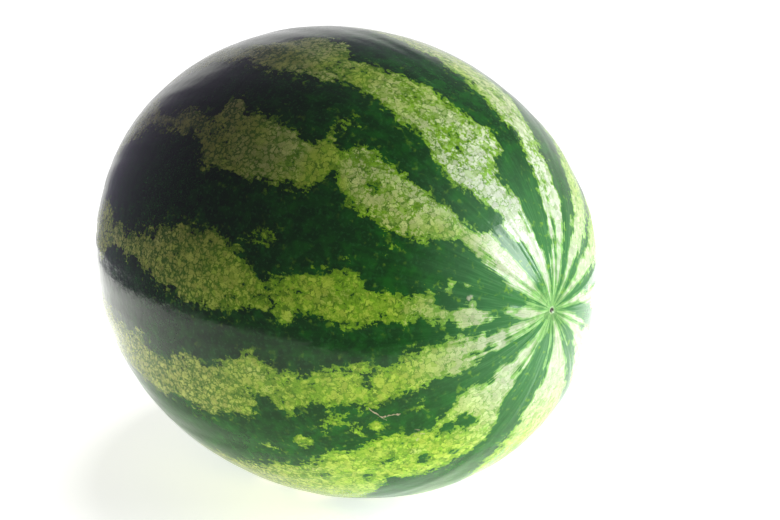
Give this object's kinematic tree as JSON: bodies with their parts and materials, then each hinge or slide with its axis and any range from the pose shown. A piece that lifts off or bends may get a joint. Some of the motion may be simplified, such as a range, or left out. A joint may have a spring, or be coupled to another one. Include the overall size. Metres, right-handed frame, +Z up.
{
  "type": "watermelon",
  "caption": "Whole oblong-round watermelon with mottled light and dark green stripes, lying on a small flat spot.",
  "frame": {"origin": "middle of the fruit's box on the surface it lies on, inside the small flat spot underneath", "axes": "+X along the fruit's length to the blossom end, +Z up"},
  "size_m": [0.2822, 0.2334, 0.2354],
  "materials": {
    "rind": "smooth waxy rind, dark green with mottled yellow-green stripes"
  },
  "bodies": {
    "root": {"watermelon": "rind"}
  },
  "joints": []
}
